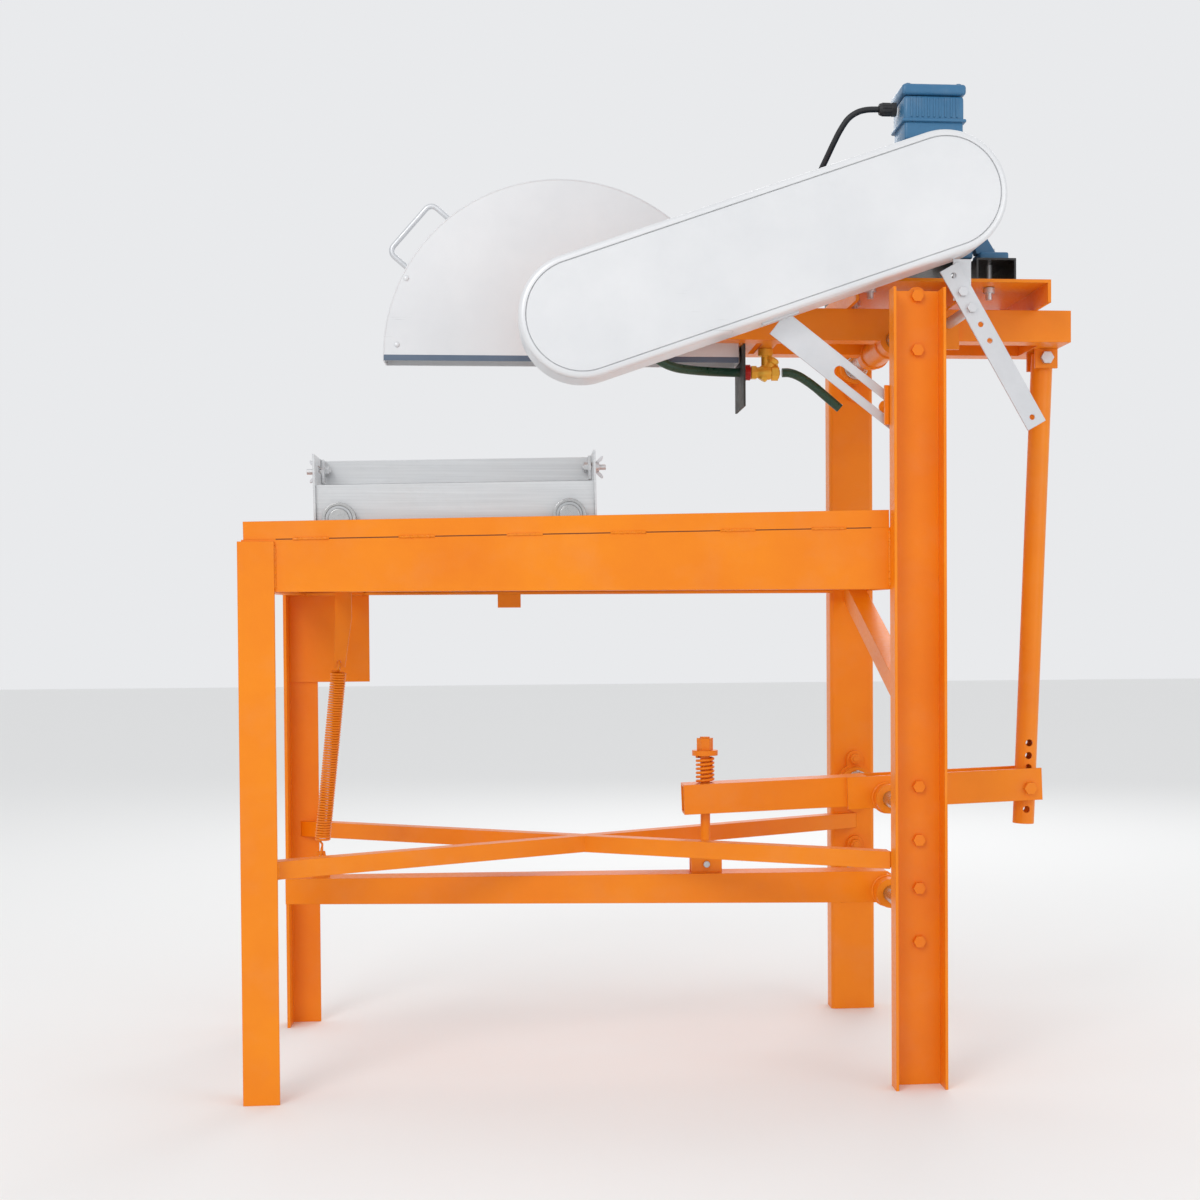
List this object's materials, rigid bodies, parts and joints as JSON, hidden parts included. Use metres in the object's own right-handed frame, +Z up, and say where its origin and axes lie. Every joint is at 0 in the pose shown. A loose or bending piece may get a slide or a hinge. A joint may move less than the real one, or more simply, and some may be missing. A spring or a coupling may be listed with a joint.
{
  "type": "masonry saw",
  "caption": "Foot-operated masonry saw: angle-iron stand, rolling cart with fence, and a tilting motor head with blade and belt guards, drawn down by pedal, lever and link.",
  "frame": {"origin": "centre of the bounding box at floor level, without the free cable and hoses", "axes": "+X from the cart front to the rear of the saw head, +Y across the machine to the far side, +Z up"},
  "size_m": [1.228, 0.6, 1.461],
  "materials": {
    "frame_paint": "orange enamel, satin, chipped at edges",
    "guard_paint": "silver-white paint with fine scratches",
    "cart_steel": "pale zinc-coated sheet steel",
    "black_paint": "black enamel, worn at the edges",
    "galvanised": "galvanised sheet steel",
    "bright_steel": "machined steel, lightly oiled",
    "motor_paint": "blue-grey machine enamel",
    "black_plastic": "matt black moulded plastic",
    "cable_sheath": "black flexible cable sheath",
    "hose_rubber": "dark green reinforced hose",
    "flap_rubber": "dark sheet rubber",
    "belt_rubber": "black V-belt rubber",
    "brass": "cast brass",
    "green_plastic": "green push button",
    "red_plastic": "red push button",
    "switch_plastic": "grey moulded switch housing"
  },
  "bodies": {
    "frame": {"front_legs": "frame_paint", "column_near": "frame_paint", "column_far": "frame_paint", "side_beam_near": "frame_paint", "side_beam_far": "frame_paint", "track_rails": "frame_paint", "front_cross_beam": "frame_paint", "rear_cross_members": "frame_paint", "cross_braces": "frame_paint", "side_plate": "frame_paint", "frame_brackets": "frame_paint", "flange_bearings": "frame_paint", "bearing_bolts": "frame_paint", "return_spring": "frame_paint"},
    "head": {"head_frame": "frame_paint", "pivot_shaft": "bright_steel", "arbor_housings": "frame_paint", "head_bolts": "galvanised", "belt_guard_cover": "guard_paint", "belt_guard_back": "guard_paint", "blade_guard": "guard_paint", "guard_handle": "galvanised", "guard_brackets": "galvanised", "splash_flap": "flap_rubber", "water_valve": "brass", "water_hose": "hose_rubber", "hose_tail": "hose_rubber", "motor_base_plate": "frame_paint", "motor_rails": "black_paint", "motor_body": "motor_paint", "motor_fan_cover": "motor_paint", "terminal_box": "motor_paint", "cable_gland": "black_plastic", "motor_cable": "cable_sheath", "switch_box": "switch_plastic", "v_belts": "belt_rubber"},
    "start_button": {"start_button": "green_plastic"},
    "stop_button": {"stop_button": "red_plastic"},
    "arbor": {"arbor_shaft": "bright_steel", "blade_flanges": "bright_steel", "arbor_pulley": "bright_steel"},
    "motor_rotor": {"motor_pulley": "bright_steel"},
    "lever": {"lever": "frame_paint", "lever_shaft": "bright_steel", "link_bolt": "frame_paint"},
    "pedal": {"pedal": "frame_paint", "pedal_shaft": "bright_steel"},
    "rod": {"pull_rod": "frame_paint", "rod_spring": "frame_paint"},
    "link": {"link_tube": "frame_paint"},
    "cart": {"cart_deck": "cart_steel", "cart_end_plates": "cart_steel", "roller_axles": "bright_steel"},
    "roller_front_near": {"roller_front_near": "bright_steel"},
    "roller_rear_near": {"roller_rear_near": "bright_steel"},
    "roller_front_far": {"roller_front_far": "bright_steel"},
    "roller_rear_far": {"roller_rear_far": "bright_steel"},
    "fence": {"fence_bar": "cart_steel"},
    "wing_nut_front": {"wing_nut_front": "galvanised"},
    "wing_nut_rear": {"wing_nut_rear": "galvanised"}
  },
  "joints": [
    {"name": "head_tilt", "type": "hinge", "parent": "frame", "child": "head", "pos_m": [0.34, 0, 1.091], "axis": [0, -1, 0], "range_deg": [0, 11]},
    {"name": "lever_swing", "type": "hinge", "parent": "frame", "child": "lever", "pos_m": [0.34, 0, 0.391], "axis": [0, -1, 0], "range_deg": [0, 12.7]},
    {"name": "pedal_press", "type": "hinge", "parent": "frame", "child": "pedal", "pos_m": [0.34, 0, 0.245], "axis": [0, -1, 0], "range_deg": [0, 12.6], "stiffness_Nm_per_rad": 380, "springref_deg": -22.92, "deforming": ["return_spring"]},
    {"name": "rod_pivot", "type": "hinge", "parent": "pedal", "child": "rod", "pos_m": [0.058, 0, 0.29], "axis": [0, -1, 0], "range_deg": [-14.7, 0], "deforming": ["rod_spring"]},
    {"name": "link_pivot", "type": "hinge", "parent": "head", "child": "link", "pos_m": [0.596, 0, 1.076], "axis": [0, -1, 0], "range_deg": [-11.6, 0]},
    {"name": "arbor_spin", "type": "hinge", "parent": "head", "child": "arbor", "pos_m": [-0.144, 0, 1.104], "axis": [0, 1, 0], "continuous": true},
    {"name": "motor_spin", "type": "hinge", "parent": "head", "child": "motor_rotor", "pos_m": [0.388, -0.2, 1.293], "axis": [0, 1, 0], "continuous": true},
    {"name": "start_press", "type": "slide", "parent": "head", "child": "start_button", "axis": [0, -1, 0], "range_m": [0, 0.003], "stiffness_N_per_m": 300},
    {"name": "stop_press", "type": "slide", "parent": "head", "child": "stop_button", "axis": [0, -1, 0], "range_m": [0, 0.004], "stiffness_N_per_m": 300},
    {"name": "cart_roll", "type": "slide", "parent": "frame", "child": "cart", "axis": [0.9998, 0, 0.0176], "range_m": [-0.08, 0.38]},
    {"name": "roller_front_near_spin", "type": "hinge", "parent": "cart", "child": "roller_front_near", "pos_m": [-0.47649, -0.2543, 0.81331], "axis": [0, 1, 0], "range_deg": [-200, 930]},
    {"name": "roller_front_far_spin", "type": "hinge", "parent": "cart", "child": "roller_front_far", "pos_m": [-0.47649, 0.2543, 0.81331], "axis": [0, 1, 0], "range_deg": [-200, 930]},
    {"name": "roller_rear_near_spin", "type": "hinge", "parent": "cart", "child": "roller_rear_near", "pos_m": [-0.15654, -0.2543, 0.81895], "axis": [0, 1, 0], "range_deg": [-200, 930]},
    {"name": "roller_rear_far_spin", "type": "hinge", "parent": "cart", "child": "roller_rear_far", "pos_m": [-0.15654, 0.2543, 0.81895], "axis": [0, 1, 0], "range_deg": [-200, 930]},
    {"name": "fence_slide", "type": "slide", "parent": "cart", "child": "fence", "axis": [0, 1, 0], "range_m": [-0.05, 0.11]},
    {"name": "front_nut_turn", "type": "hinge", "parent": "fence", "child": "wing_nut_front", "pos_m": [-0.51779, -0.15, 0.88702], "axis": [0.9998, 0, 0.0176], "continuous": true},
    {"name": "rear_nut_turn", "type": "hinge", "parent": "fence", "child": "wing_nut_rear", "pos_m": [-0.11386, -0.15, 0.89414], "axis": [0.9998, 0, 0.0176], "continuous": true}
  ],
  "couplings": [
    {"joint": "lever_swing", "follows": "head_tilt", "ratio": 1.1453},
    {"joint": "pedal_press", "follows": "head_tilt", "ratio": 1.1369},
    {"joint": "rod_pivot", "follows": "head_tilt", "ratio": -1.3272},
    {"joint": "link_pivot", "follows": "head_tilt", "ratio": -1.0455},
    {"joint": "motor_spin", "follows": "arbor_spin", "ratio": 0.9},
    {"joint": "roller_front_near_spin", "follows": "cart_roll", "rad_per_m": 42.553},
    {"joint": "roller_front_far_spin", "follows": "cart_roll", "rad_per_m": 42.553},
    {"joint": "roller_rear_near_spin", "follows": "cart_roll", "rad_per_m": 42.553},
    {"joint": "roller_rear_far_spin", "follows": "cart_roll", "rad_per_m": 42.553}
  ]
}
